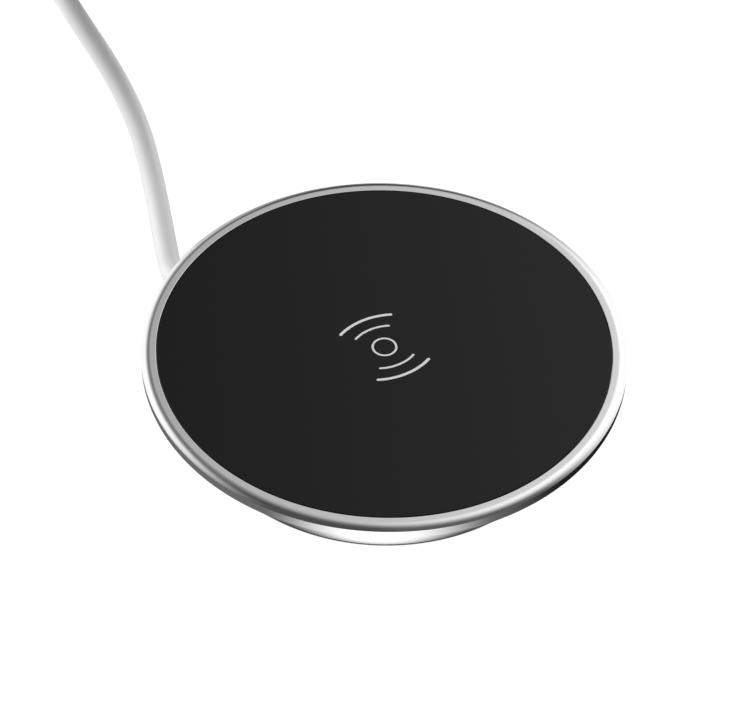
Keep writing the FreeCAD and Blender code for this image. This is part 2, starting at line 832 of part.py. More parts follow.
def make_cable_coil():
    """The outer shape of the put-away turns, which lie side by side in flat layers."""
    thick = SIZE["cable_radius"] * 2
    width = thick * (SIZE["turns_per_layer"] + 1)
    inner = SIZE["coil_middle_radius"] - width / 2
    outer = SIZE["coil_middle_radius"] + width / 2
    bottom = SIZE["coil_lift"]
    top = bottom + thick * SIZE["coil_layers"]
    coil = ring("cable_coil", inner, outer, bottom, top)
    corners = [(radius, height) for radius in (inner, outer) for height in (bottom, top)]
    round_circles(coil, corners, SIZE["cable_radius"] * 0.9)
    coil.Placement.Base = Vector(*TURNS_CENTRE, 0)
    return coil


def make_cable_tie(coil):
    """A thin strap round the put-away turns."""
    thick = SIZE["cable_radius"] * 2
    width = thick * (SIZE["turns_per_layer"] + 1)
    wall = SIZE["tie_thickness"]
    strap = bind(
        doc.addObject("Part::Box", "tie_blank"),
        Length=width + wall * 3.4,
        Width=SIZE["tie_width"],
        Height=thick * SIZE["coil_layers"] + wall * 2,
    )
    turn = FreeCAD.Rotation(UP, TIE_ANGLE)
    start = DIMENSIONS["coil_middle_radius"] - float(width) / 2 - 1.7 * float(wall)
    strap.Placement = FreeCAD.Placement(
        Vector(*TURNS_CENTRE, 0) + turn.multVec(Vector(start, -DIMENSIONS["tie_width"] / 2, 0)), turn
    )
    doc.recompute()
    rounded = doc.addObject("Part::Fillet", "tie_rounding")
    rounded.Base = strap
    rounded.Edges = [
        (number, 2.0, 2.0)
        for number, edge in enumerate(strap.Shape.Edges, start=1)
        if abs(edge.tangentAt(edge.FirstParameter).dot(turn.multVec(Vector(0, 1, 0)))) > 0.9
    ]
    doc.recompute()
    return cut("cable_tie", rounded, coil)


def make_cable_tail():
    return cable_run("cable_tail", TAIL_ROUTE, SIZE["cable_radius"])


def at_plug(item):
    """Moves a finished piece from the plug's own frame, +X towards its tip, to where the plug lies."""
    end = Vector(*TAIL_ROUTE[-1])
    turn = FreeCAD.Rotation(Vector(1, 0, 0), end - Vector(*TAIL_ROUTE[-2]))
    item.Placement = FreeCAD.Placement(end, turn)
    return item


def make_plug_overmould(shell_start):
    """The grip: a block with rounded edges, a tapered neck for the cable and a pocket for the metal shell."""
    neck_length = SIZE["plug_neck_length"]
    height = SIZE["plug_body_height"]
    neck = bind(
        doc.addObject("Part::Cone", "plug_neck"),
        Radius1=SIZE["plug_neck_radius"],
        Radius2=SIZE["plug_neck_root_radius"],
        Height=neck_length + 1.0,
    )
    neck.Placement = FreeCAD.Placement(Vector(0, 0, 0), FreeCAD.Rotation(UP, Vector(1, 0, 0)))
    length = SIZE["plug_body_length"]
    block = box("plug_block", length, SIZE["plug_body_width"], height, neck_length, 0, -height / 2)
    doc.recompute()
    rounded = doc.addObject("Part::Fillet", "plug_block_rounded")
    rounded.Base = block
    rounding = DIMENSIONS["plug_body_rounding"]
    rounded.Edges = [(number, rounding, rounding) for number in range(1, len(block.Shape.Edges) + 1)]
    shell_height = SIZE["plug_shell_height"]
    depth = SIZE["plug_shell_held"] + 1.0
    width = SIZE["plug_shell_width"]
    pocket = box("plug_pocket", depth, width, shell_height, shell_start, 0, -shell_height / 2)
    return at_plug(cut("plug_overmould", fuse("plug_overmould_blank", neck, rounded), pocket))


def make_plug():
    """The USB-A plug: grip, metal shell, plastic tongue and four contacts."""
    held = SIZE["plug_shell_held"]
    wall = SIZE["plug_shell_wall"]
    width = SIZE["plug_shell_width"]
    height = SIZE["plug_shell_height"]
    start = SIZE["plug_neck_length"] + SIZE["plug_body_length"] - held
    length = held + SIZE["plug_shell_reach"]
    inner_width = width - wall * 2
    inner_height = height - wall * 2

    outer = box("plug_shell_outer", length, width, height, start, 0, -height / 2)
    inner = box("plug_shell_inner", length + 2, inner_width, inner_height, start - 1, 0, -inner_height / 2)
    window = SIZE["plug_window"]
    window_start = start + length - 5.2 - window
    windows = [
        box(f"plug_window_{number}", window, window, height + 2, window_start, y, -height)
        for number, y in enumerate((-2.6, 2.6))
    ]
    shell = at_plug(cut("plug_shell", outer, inner, *windows))

    bottom = -inner_height / 2
    tongue_height = SIZE["plug_tongue_height"]
    tongue = box("plug_tongue", length - 0.4, inner_width, tongue_height, start, 0, bottom)
    root = box("plug_tongue_root", held, inner_width, inner_height, start, 0, bottom)
    insulator = at_plug(fuse("plug_insulator", tongue, root))

    strip_bottom = bottom + tongue_height
    strip_height = SIZE["plug_contact_height"]
    strip_end = start + length - 1.2
    strips = []
    for number, (y, reach) in enumerate(((-3.5, 7.4), (-1.0, 6.4), (1.0, 6.4), (3.5, 7.4))):
        strip_sides = (fixed(reach), fixed(1.0), strip_height)
        strips.append(box(f"plug_contact_{number}", *strip_sides, strip_end - reach, y, strip_bottom))
    contacts = at_plug(group("plug_contacts", *strips))
    return [make_plug_overmould(start), shell, insulator, contacts]


# ---------------------------------------------------------------- build, check and write


def build():
    """Every piece of the assembly, by the order in which it would be put together."""
    parts = [
        make_glass_top(),
        make_glass_tape(),
        make_rim_ring(),
        make_body_shell(),
        make_base_plate(),
        make_foot_ring(),
        make_base_screws(),
        make_coil_carrier(),
        make_ferrite_sheet(),
        make_coil_tape(),
        make_charging_coil(),
        make_coil_leads(),
        make_thermistor(),
        make_circuit_board(),
        make_board_screws(),
        *make_board_parts(),
        make_strain_relief(),
    ]
    inner_end = make_cable_inner_end()
    parts += [inner_end, make_cable_clamp(inner_end), make_clamp_screws(), *make_wires()]
    coil = make_cable_coil()
    parts += [make_cable_tube(), coil, make_cable_tie(coil), make_cable_tail(), *make_plug()]
    doc.recompute()
    return parts


def check(parts):
    """Stops if any object failed or any piece isn't a valid solid."""
    for item in doc.Objects:
        if "Invalid" in item.State or "Error" in item.State:
            raise RuntimeError(f"{item.Label} failed: {item.State}")
    for part in parts:
        shape = part.Shape
        if shape.isNull() or not shape.isValid() or not shape.Solids:
            raise RuntimeError(f"{part.Label} isn't a valid solid")
        print(f"{part.Label}: {len(shape.Solids)} solid(s), {sum(s.Volume for s in shape.Solids):.2f} mm3")
    labels = [part.Label for part in parts]
    if len(set(labels)) != len(labels):
        raise RuntimeError("two pieces share a label")


def write(parts):
    os.makedirs("parts", exist_ok=True)
    for part in parts:
        part.Shape.exportStep(f"parts/{part.Label}.step")


PARTS = build()
check(PARTS)
write(PARTS)
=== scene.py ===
"""Looks, light and camera for the wireless charging pad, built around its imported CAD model."""

import math

import bmesh
import bpy
from mathutils import Matrix, Vector


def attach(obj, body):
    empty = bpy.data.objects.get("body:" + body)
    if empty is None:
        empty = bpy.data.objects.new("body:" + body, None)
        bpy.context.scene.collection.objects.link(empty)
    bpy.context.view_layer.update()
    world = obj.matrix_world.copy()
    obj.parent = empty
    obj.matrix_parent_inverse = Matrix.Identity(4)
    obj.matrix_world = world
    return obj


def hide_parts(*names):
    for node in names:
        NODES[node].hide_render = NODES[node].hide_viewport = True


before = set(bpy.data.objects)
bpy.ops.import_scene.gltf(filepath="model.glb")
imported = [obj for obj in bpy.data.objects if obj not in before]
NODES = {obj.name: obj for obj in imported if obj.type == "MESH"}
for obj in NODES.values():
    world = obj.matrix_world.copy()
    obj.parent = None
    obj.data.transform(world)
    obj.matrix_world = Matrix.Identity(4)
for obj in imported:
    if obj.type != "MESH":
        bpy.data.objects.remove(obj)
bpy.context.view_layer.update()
scene = bpy.context.scene
scene.view_settings.view_transform = "Standard"

MM = 0.001
PAD_HEIGHT = 13.2 * MM
GLASS_RADIUS = 37.5 * MM
SHELL_LIFT = 0.4 * MM
SHELL_BASE_RADIUS = 31.95 * MM
SKIRT_RADIUS = 40.0 * MM
SKIRT_HEIGHT = 11.0 * MM


def add_object(name, data):
    """A new object in the scene."""
    item = bpy.data.objects.new(name, data)
    scene.collection.objects.link(item)
    return item


def mesh_data(name, mesh):
    """A bmesh turned into mesh data, and freed."""
    data = bpy.data.meshes.new(name)
    mesh.to_mesh(data)
    mesh.free()
    return data


# ---------------------------------------------------------------- camera

CAMERA_ELEVATION = math.radians(45.624)
CAMERA_DISTANCE = 606.375 * MM
CAMERA_LENS = 178.96
CAMERA_SENSOR = 36.0
CAMERA_TURNS = {"Y": -0.003605, "X": 0.002036, "Z": math.radians(-1.825)}


def make_camera():
    """A long lens in front of the pad, aimed at its middle and then turned slightly about its own axes."""
    centre = Vector((0, 0, PAD_HEIGHT))
    back = Vector((0, -math.cos(CAMERA_ELEVATION), math.sin(CAMERA_ELEVATION)))
    right = Vector((1, 0, 0))
    up = back.cross(right)
    turn = Matrix((right, up, back))
    for axis, angle in CAMERA_TURNS.items():
        turn = Matrix.Rotation(angle, 3, axis) @ turn
    data = bpy.data.cameras.new("camera")
    data.lens = CAMERA_LENS
    data.sensor_width = CAMERA_SENSOR
    data.clip_start = 0.01
    data.clip_end = 50.0
    camera = add_object("camera", data)
    camera.matrix_world = Matrix.Translation(centre + back * CAMERA_DISTANCE) @ turn.transposed().to_4x4()
    scene.camera = camera


make_camera()

# ---------------------------------------------------------------- cable

EXIT_PLACE_ANGLE = math.radians(150.5)
EXIT_HEADING = math.radians(127.0)
EXIT_TILT = math.radians(12.0)
EXIT_HEIGHT = 4.9 * MM
SHELL_SLOPE = (SKIRT_RADIUS - SHELL_BASE_RADIUS) / (SKIRT_HEIGHT - SHELL_LIFT)
EXIT_RADIUS = SHELL_BASE_RADIUS + (EXIT_HEIGHT - SHELL_LIFT) * SHELL_SLOPE
EXIT_X = EXIT_RADIUS * math.cos(EXIT_PLACE_ANGLE)
EXIT_Y = EXIT_RADIUS * math.sin(EXIT_PLACE_ANGLE)
EXIT = Vector((EXIT_X, EXIT_Y, EXIT_HEIGHT))
EXIT_LEVEL = math.cos(EXIT_TILT)
EXIT_WAY = Vector(
    (EXIT_LEVEL * math.cos(EXIT_HEADING), EXIT_LEVEL * math.sin(EXIT_HEADING), -math.sin(EXIT_TILT))
)
BOOT_REACH = 5.0 * MM
FIRST_RUN = 3.2 * MM
CABLE_DIAMETER = 4.0 * MM
CABLE_ROUTE = [
    (-0.0373, 0.0278, 0.0024),
    (-0.03825, 0.0330, 0.0020),
    (-0.0402, 0.0430, 0.0020),
    (-0.04215, 0.0525, 0.0020),
    (-0.04515, 0.0645, 0.0020),
    (-0.05075, 0.0785, 0.0020),
    (-0.0601, 0.0960, 0.0021),
    (-0.0707, 0.1176, 0.0025),
]
TURNS_CENTRE = Vector((-0.0465, 0.1320, 0))
TAIL_ROUTE = [
    (-0.0392, 0.1590, 0.0065),
    (-0.0286, 0.1562, 0.0057),
    (-0.0186, 0.1516, 0.0033),
    (-0.0103, 0.1460, 0.0023),
    (-0.0040, 0.1411, 0.0039),
    (-0.0001, 0.1380, 0.0039),
]


def put_away_turns():
    """Three turns inwards on the table, a rise, and three turns outwards on top of them."""
    per_turn = 16
    start, end = 209.0, 75.0
    layer_turns = 3
    rise_turns = (start - end) / 360
    steps = round((2 * layer_turns + rise_turns) * per_turn)
    inner, outer = 16.0 * MM, 28.0 * MM
    low, high = 2.5 * MM, 6.5 * MM
    widen = 1 / math.cos(math.pi / per_turn)
    points = []
    for step in range(1, steps):
        turned = step * (2 * layer_turns + rise_turns) / steps
        inward = min(turned / layer_turns, 1)
        outward = max((turned - layer_turns - rise_turns) / layer_turns, 0)
        rise = min(max((turned - layer_turns) / rise_turns, 0), 1)
        radius = (outer + (inner - outer) * (inward - outward)) * widen
        angle = math.radians(start - 360 * turned)
        height = low + (high - low) * rise
        points.append(TURNS_CENTRE + Vector((radius * math.cos(angle), radius * math.sin(angle), height)))
    return points


def make_cable():
    """One cord from the boot to the plug. Its bevel is 1, so each point's radius is the cord's own radius."""
    tip = EXIT + EXIT_WAY * BOOT_REACH
    seen_run = [tip, tip + EXIT_WAY * FIRST_RUN, *map(Vector, CABLE_ROUTE)]
    route = [*seen_run, *put_away_turns(), *map(Vector, TAIL_ROUTE)]
    data = bpy.data.curves.new("cable", "CURVE")
    data.dimensions = "3D"
    data.resolution_u = 12
    data.bevel_depth = 1.0
    data.bevel_resolution = 8
    data.use_fill_caps = True
    spline = data.splines.new("NURBS")
    spline.points.add(len(route) - 1)
    for point, place in zip(spline.points, route):
        point.co = (*place, 1.0)
        point.radius = CABLE_DIAMETER / 2
    spline.order_u = 3
    spline.use_endpoint_u = True
    cable = add_object("cable", data)
    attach(cable, "root")
    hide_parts("cable_tube", "cable_coil", "cable_tail")
    return cable


cable = make_cable()

# ---------------------------------------------------------------- bezel


def turned_piece(name, outline, steps=360):
    """A piece turned about the pad's axis from a closed outline of (radius, height)."""
    mesh = bmesh.new()
    rings = []
    for step in range(steps):
        angle = 2 * math.pi * step / steps
        rings.append([mesh.verts.new((r * math.cos(angle), r * math.sin(angle), z)) for r, z in outline])
    for here, after in zip(rings, rings[1:] + rings[:1]):
        for low in range(len(outline)):
            high = (low + 1) % len(outline)
            mesh.faces.new((here[low], after[low], after[high], here[high]))
    bmesh.ops.recalc_face_normals(mesh, faces=mesh.faces)
    data = mesh_data(name, mesh)
    data.shade_smooth()
    data.set_sharp_from_angle(angle=math.radians(25))
    piece = add_object(name, data)
    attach(piece, "root")
    return piece


def arc(centre, radius, start, end, steps):
    """Points of an arc in an outline, with angles from straight up towards the outside."""
    angles = [math.radians(start + (end - start) * step / steps) for step in range(steps + 1)]
    return [(centre[0] + radius * math.sin(angle), centre[1] + radius * math.cos(angle)) for angle in angles]


def make_bezel():
    """The rim ring with a finely stepped bead, so that its reflections run smoothly."""
    lip_radius, rim_radius, crease = 38.5 * MM, 40.04 * MM, 12.59 * MM
    width, drop = rim_radius - lip_radius, PAD_HEIGHT - crease
    bead_radius = (width * width + drop * drop) / (2 * drop)
    bead_sweep = math.degrees(math.asin(width / bead_radius))
    plug_radius, plug_height = 38.7 * MM, 10.9 * MM
    seat_radius, seat_height = 36.0 * MM, 11.9 * MM
    edge, clearance = 0.06 * MM, 0.06 * MM
    bore = GLASS_RADIUS + clearance
    outline = [(plug_radius, crease), (plug_radius, plug_height), (seat_radius, plug_height)]
    outline += [(seat_radius, seat_height), (bore, seat_height)]
    outline += arc((bore + edge, PAD_HEIGHT - edge), edge, -90, 0, 5)
    outline += [(bore + 2 * edge, PAD_HEIGHT), (lip_radius - edge, PAD_HEIGHT)]
    outline += arc((lip_radius, PAD_HEIGHT - bead_radius), bead_radius, 0, bead_sweep, 28)
    ring = turned_piece("bezel", outline)
    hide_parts("rim_ring")
    return ring


bezel_ring = make_bezel()

# ---------------------------------------------------------------- materials


class Tree:
    """A small helper that adds nodes to a material or a world and links them."""

    def __init__(self, owner):
        owner.use_nodes = True
        self.nodes = owner.node_tree.nodes
        self.links = owner.node_tree.links
        self.nodes.clear()

    def add(self, kind, inputs=(), **settings):
        node = self.nodes.new(kind)
        for name, value in settings.items():
            setattr(node, name, value)
        for name, value in dict(inputs).items():
            if isinstance(value, bpy.types.NodeSocket):
                self.links.new(value, node.inputs[name])
            else:
                node.inputs[name].default_value = value
        return node

    def math(self, operation, *values):
        return self.add("ShaderNodeMath", dict(enumerate(values)), operation=operation).outputs[0]

    def place(self):
        """A point's place on its own object: the vector, then x, y, z and the distance from the z axis."""
        vector = self.add("ShaderNodeTexCoord").outputs["Object"]
        x, y, z = self.add("ShaderNodeSeparateXYZ", {0: vector}).outputs
        squares = [self.math("MULTIPLY", way, way) for way in (x, y)]
        return vector, x, y, z, self.math("SQRT", self.math("ADD", *squares))

    def smooth(self, value, low, high, to_low=0.0, to_high=1.0):
        """A soft step: one number below the low value, another above the high value."""
        inputs = {0: value, 1: low, 2: high, 3: to_low, 4: to_high}
        return self.add("ShaderNodeMapRange", inputs, interpolation_type="SMOOTHSTEP").outputs[0]

    def linear(self, value, low, high, to_low, to_high):
        """A straight ramp between two numbers."""
        return self.add("ShaderNodeMapRange", {0: value, 1: low, 2: high, 3: to_low, 4: to_high}).outputs[0]

    def spread(self, value, low, high):
        """A texture's value spread between two numbers."""
        return self.linear(value, 0.3, 0.7, low, high)

    def noise(self, place, size, detail=3.0):
        """Noise whose grains are about that many millimetres."""
        scale = [1 / (size * MM)] * 3
        moved = self.add("ShaderNodeMapping", {"Vector": place, "Scale": scale}).outputs[0]
        looks = {"Vector": moved, "Scale": 1.0, "Detail": detail}
        return self.add("ShaderNodeTexNoise", looks).outputs["Fac"]


def surface(
    name,
    colour,
    roughness,
    metallic=0.0,
    shade=0.06,
    patch=6.0,
    rough_spread=0.06,
    grain=0.25,
    bump=0.05,
    **sockets,
):
    """A material with soft colour patches, uneven gloss and a fine grain. Sizes are in millimetres."""
    material = bpy.data.materials.new(name)
    tree = Tree(material)
    place = tree.add("ShaderNodeTexCoord").outputs["Object"]
    patches = tree.noise(place, patch)
    fine = tree.noise(place, grain, detail=4.0)
    dark = tuple(channel * (1 - shade) for channel in colour)
    light = tuple(min(channel * (1 + shade), 1.0) for channel in colour)
    mixed = tree.add("ShaderNodeMix", {0: patches, 6: (*dark, 1), 7: (*light, 1)}, data_type="RGBA")
    uneven = tree.spread(fine, roughness - rough_spread / 2, roughness + rough_spread / 2)
    relief = tree.add("ShaderNodeBump", {"Height": fine, "Strength": bump, "Distance": 0.02 * MM})
    looks = {
        "Base Color": mixed.outputs[2],
        "Roughness": uneven,
        "Metallic": metallic,
        "Normal": relief.outputs[0],
        **sockets,
    }
    shader = tree.add("ShaderNodeBsdfPrincipled", looks)
    tree.add("ShaderNodeOutputMaterial", {"Surface": shader.outputs[0]})
    return material


CLOUD_SHADE = 0.97
CLOUD_ROUGHNESS = 0.01
LINE_ROUGHNESS = 0.012


def turned_metal(name, colour, roughness, groove=0.12, bump=0.02):
    """Bright turned metal with very fine rings about the pad's axis and soft clouds."""
    material = bpy.data.materials.new(name)
    tree = Tree(material)
    place, _, _, z, radius = tree.place()
    rings = tree.add("ShaderNodeCombineXYZ", {"X": radius, "Y": 0.0, "Z": z}).outputs[0]
    lines = tree.noise(rings, groove, detail=2.0)
    clouds = tree.noise(place, 9.0)
    dark = tuple(channel * CLOUD_SHADE for channel in colour)
    mixed = tree.add("ShaderNodeMix", {0: clouds, 6: (*dark, 1), 7: (*colour, 1)}, data_type="RGBA")
    from_lines = tree.spread(lines, roughness - LINE_ROUGHNESS, roughness + LINE_ROUGHNESS)
    uneven = tree.math("ADD", from_lines, tree.spread(clouds, -CLOUD_ROUGHNESS, CLOUD_ROUGHNESS))
    relief = tree.add("ShaderNodeBump", {"Height": lines, "Strength": bump, "Distance": 0.01 * MM})
    looks = {
        "Base Color": mixed.outputs[2],
        "Roughness": uneven,
        "Metallic": 1.0,
        "Normal": relief.outputs[0],
    }
    shader = tree.add("ShaderNodeBsdfPrincipled", looks)
    tree.add("ShaderNodeOutputMaterial", {"Surface": shader.outputs[0]})
    return material


def dress(names, material):
    for name in names.split():
        data = NODES[name].data
        data.materials.clear()
        data.materials.append(material)


black_glass = surface(
    "black_glass",
    (0.0006, 0.0006, 0.0007),
    0.05,
    shade=0.2,
    patch=25.0,
    rough_spread=0.02,
    grain=8.0,
    bump=0.0,
    IOR=1.38,
)
bezel = turned_metal("bezel_metal", (0.92, 0.92, 0.925), 0.13)
shell = turned_metal("shell_metal", (0.92, 0.92, 0.925), 0.12)
rubber = surface("foot_rubber", (0.035, 0.035, 0.036), 0.75, grain=0.3, bump=0.3)
base_plastic = surface("base_plastic", (0.55, 0.56, 0.57), 0.5, grain=0.2, bump=0.25)
screw_steel = surface("screw_steel", (0.5, 0.5, 0.51), 0.3, 1.0, grain=0.1)
frame_plastic = surface("frame_plastic", (0.7, 0.7, 0.69), 0.5, grain=0.3)
dark_tape = surface("tape", (0.02, 0.02, 0.02), 0.6, grain=0.3)
ferrite = surface("ferrite", (0.05, 0.05, 0.055), 0.55, patch=2.0, shade=0.15, grain=0.15, bump=0.2)
copper = surface("copper", (0.75, 0.33, 0.16), 0.25, 1.0, patch=2.0)
board = surface("board", (0.02, 0.12, 0.06), 0.4, patch=3.0, grain=0.2)
chip = surface("chip_plastic", (0.02, 0.02, 0.02), 0.6, grain=0.1, bump=0.2)
ceramic = surface("ceramic", (0.35, 0.24, 0.15), 0.55, grain=0.1)
epoxy = surface("sensor_epoxy", (0.012, 0.012, 0.012), 0.2, grain=0.3)
cable_white = surface("cable_white", (0.62, 0.62, 0.622), 0.38, shade=0.015, patch=5.0, grain=0.2, bump=0.06)
boot_white = surface("boot_white", (0.78, 0.78, 0.77), 0.45, shade=0.015, grain=0.2, bump=0.1)
tie_white = surface("tie_white", (0.75, 0.75, 0.74), 0.55, shade=0.02, grain=0.3, bump=0.25)
wire_red = surface("wire_red", (0.4, 0.02, 0.02), 0.4)
wire_black = surface("wire_black", (0.02, 0.02, 0.02), 0.4)
plug_white = surface("plug_white", (0.79, 0.79, 0.78), 0.42, shade=0.015, grain=0.25, bump=0.12)
plug_steel = surface("plug_steel", (0.72, 0.72, 0.73), 0.3, 0.6, patch=4.0, grain=0.15)
plug_plastic = surface("plug_plastic", (0.78, 0.78, 0.77), 0.5, shade=0.02)
gold = surface("contact_gold", (0.83, 0.58, 0.22), 0.22, 1.0, patch=1.0, grain=0.1)

dress("glass_top", black_glass)
dress("rim_ring", bezel)
bezel_ring.data.materials.append(bezel)
dress("body_shell", shell)
dress("foot_ring", rubber)
dress("base_plate", base_plastic)
dress("base_screws board_screws clamp_screws", screw_steel)
dress("coil_carrier cable_clamp", frame_plastic)
dress("glass_tape coil_tape", dark_tape)
dress("ferrite_sheet", ferrite)
dress("charging_coil coil_leads", copper)
dress("thermistor", epoxy)
dress("circuit_board", board)
dress("controller_chip bridge_mosfets input_inductor", chip)
dress("resonant_capacitors input_capacitors", ceramic)
dress("cable_inner_end cable_tube cable_coil cable_tail", cable_white)
dress("strain_relief", boot_white)
dress("cable_tie", tie_white)
dress("power_wire", wire_red)
dress("ground_wire", wire_black)
dress("plug_overmould", plug_white)
dress("plug_shell", plug_steel)
dress("plug_insulator", plug_plastic)
dress("plug_contacts", gold)
cable.data.materials.append(cable_white)

# ---------------------------------------------------------------- printed mark on the glass


INK_THICKNESS = 0.02 * MM
MARK_MIDDLE = 121.9
MARK_SHIFT_WAY = 300.9
MARK_RING = {"radius": GLASS_RADIUS * 0.0519, "width": GLASS_RADIUS * 0.0092}
# For the inner and the outer arc: its centre's shift, its radius, its width and half its sweep in degrees.
MARK_ARCS = (
    (GLASS_RADIUS * 0.0685, GLASS_RADIUS * 0.1913, GLASS_RADIUS * 0.0102, 26.1),
    (GLASS_RADIUS * 0.1125, GLASS_RADIUS * 0.2997, GLASS_RADIUS * 0.0134, 25.3),
)


def direction(degrees):
    """The way that lies that many degrees round from the right, on the glass."""
    return Vector((math.cos(math.radians(degrees)), math.sin(math.radians(degrees)), 0))


def stroke(mesh, loops):
    """A thin raised layer of ink inside one outline, or between an outer and an inner one."""
    low, high = Vector((0, 0, PAD_HEIGHT)), Vector((0, 0, PAD_HEIGHT + INK_THICKNESS))
    sheets = [[[mesh.verts.new(place + z) for place in loop] for loop in loops] for z in (low, high)]
    for lower, upper in zip(*sheets):
        for here in range(len(lower)):
            after = (here + 1) % len(lower)
            mesh.faces.new((lower[here], lower[after], upper[after], upper[here]))
    for sheet in sheets:
        if len(sheet) == 1:
            mesh.faces.new(sheet[0])
            continue
        outer, inner = sheet
        for here in range(len(outer)):
            after = (here + 1) % len(outer)
            mesh.faces.new((outer[here], outer[after], inner[after], inner[here]))


def ring_loops(radius, width):
    """The two outlines of a ring."""
    steps = [360 * step / 90 for step in range(90)]
    reaches = (radius + width / 2, radius - width / 2)
    return [[direction(turned) * reach for turned in steps] for reach in reaches]


def arc_loops(centre, radius, width, middle, half):
    """The outline of an arc with round ends, half of it each side of its middle direction."""
    steps = [middle - half + 2 * half * step / 30 for step in range(31)]
    outer = [centre + direction(turned) * (radius + width / 2) for turned in steps]
    inner = [centre + direction(turned) * (radius - width / 2) for turned in reversed(steps)]
    ends = []
    for turned, spin in ((middle + half, 0), (middle - half, 180)):
        end = centre + direction(turned) * radius
        ends.append([end + direction(turned + spin + 22.5 * step) * width / 2 for step in range(1, 8)])
    return [[*outer, *ends[0], *inner, *ends[1]]]


def make_mark():
    """A small ring with two flatter arcs on each side of it."""
    mesh = bmesh.new()
    stroke(mesh, ring_loops(**MARK_RING))
    for turned in (0, 180):
        for back, radius, width, half in MARK_ARCS:
            centre = direction(MARK_SHIFT_WAY + turned) * back
            stroke(mesh, arc_loops(centre, radius, width, MARK_MIDDLE + turned, half))
    bmesh.ops.recalc_face_normals(mesh, faces=mesh.faces)
    mark = add_object("wave_mark", mesh_data("wave_mark", mesh))
    ink = surface("mark_ink", (0.69, 0.69, 0.69), 0.5, shade=0.03, patch=1.5, grain=0.15)
    mark.data.materials.append(ink)
    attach(mark, "root")


make_mark()

# ---------------------------------------------------------------- floor and light


FLOOR_COLOUR = 0.14
# Where the painted contact shadow on the floor under the pad's foot starts and ends.
PAINTED_SHADOW_START, PAINTED_SHADOW_END = 31.65 * MM, 31.95 * MM
CARD_INNER, CARD_OUTER = 31.7 * MM, 72 * MM
CARD_HEIGHT = 0.1 * MM
CARD_FRONT_GLOW = 1.1
ROOM_GLOW = 0.11
BOX_GLOW = 0.97
MIDDLE_DIP = -0.06
WHITE = (1, 1, 1, 1)


def emission(tree, strength):
    return tree.add("ShaderNodeEmission", {"Color": WHITE, "Strength": strength}).outputs[0]


def mirrored_floor(tree, x, y, radius):
    """How bright the floor looks in the metal: dark far behind the pad, bright at its sides."""
    off_back = tree.math("ABSOLUTE", tree.math("ARCTAN2", x, y))
    at_back = tree.smooth(radius, 50 * MM, 115 * MM, 0.5, 0.06)
    at_sides = tree.smooth(radius, 60 * MM, 140 * MM, 0.6, 0.95)
    return tree.smooth(off_back, math.radians(16), math.radians(34), at_back, at_sides)


def make_floor():
    """A plain white floor that glows evenly, with a painted contact shadow that darkens it under the pad's
    foot, and that is clear from below.
    """
    data = bpy.data.meshes.new("floor")
    side, height = 6.0, -0.02 * MM
    corners = [(-side, -side), (side, -side), (side, side), (-side, side)]
    data.from_pydata([(x, y, height) for x, y in corners], [], [(0, 1, 2, 3)])
    material = bpy.data.materials.new("floor_white")
    tree = Tree(material)
    _, x, y, _, radius = tree.place()
    # Painted contact shadow: the floor's colour and glow fade to black under the pad's foot, though diffuse
    # rays still see the glow.
    painted_shadow_mask = tree.smooth(radius, PAINTED_SHADOW_START, PAINTED_SHADOW_END)
    diffuse = tree.add("ShaderNodeBsdfDiffuse", {"Color": tree.math("MULTIPLY", painted_shadow_mask, FLOOR_COLOUR)})
    paths = tree.add("ShaderNodeLightPath").outputs
    shown = tree.linear(paths["Is Glossy Ray"], 0.0, 1.0, 1.0, mirrored_floor(tree, x, y, radius))
    lit = tree.math("MAXIMUM", painted_shadow_mask, paths["Is Diffuse Ray"])
    glow = emission(tree, tree.math("MULTIPLY", shown, lit))
    from_above = tree.add("ShaderNodeAddShader", {0: diffuse.outputs[0], 1: glow}).outputs[0]
    clear = tree.add("ShaderNodeBsdfTransparent").outputs[0]
    below = tree.add("ShaderNodeNewGeometry").outputs["Backfacing"]
    whole = tree.add("ShaderNodeMixShader", {0: below, 1: from_above, 2: clear}).outputs[0]
    tree.add("ShaderNodeOutputMaterial", {"Surface": whole})
    data.materials.append(material)
    add_object("floor", data)


def card_material():
    """Bright in front, fading to dark at the sides, with a painted shadow darkening it near the pad's foot,
    and clear behind the pad.
    """
    material = bpy.data.materials.new("floor_card")
    tree = Tree(material)
    _, x, y, _, radius = tree.place()
    from_front = tree.math("ARCTAN2", x, tree.math("MULTIPLY", y, -1.0))
    off_front = tree.math("ABSOLUTE", from_front)
    widen = tree.linear(radius, 33 * MM, 52 * MM, 0.9, 1.05)
    fan = tree.math("DIVIDE", off_front, widen)
    front = tree.smooth(fan, math.radians(3), math.radians(33), 1.0, 0.0)
    side = tree.smooth(from_front, 0.45, 1.0, 0.15, 0.01)
    # Painted shadow: the card is made darker near the pad's foot to stand in for the shade under the
    # overhang.
    from_foot = tree.math("MULTIPLY_ADD", off_front, -0.8 * MM, radius)
    painted_foot_shadow = tree.smooth(from_foot, 31.4 * MM, 32.6 * MM, 0.25, 1.0)
    strength = tree.math("MULTIPLY", tree.math("MULTIPLY_ADD", front, CARD_FRONT_GLOW, side), painted_foot_shadow)
    behind = tree.smooth(off_front, math.radians(132), math.radians(146))
    clear = tree.add("ShaderNodeBsdfTransparent").outputs[0]
    whole = tree.add("ShaderNodeMixShader", {0: behind, 1: emission(tree, strength), 2: clear}).outputs[0]
    tree.add("ShaderNodeOutputMaterial", {"Surface": whole})
    return material


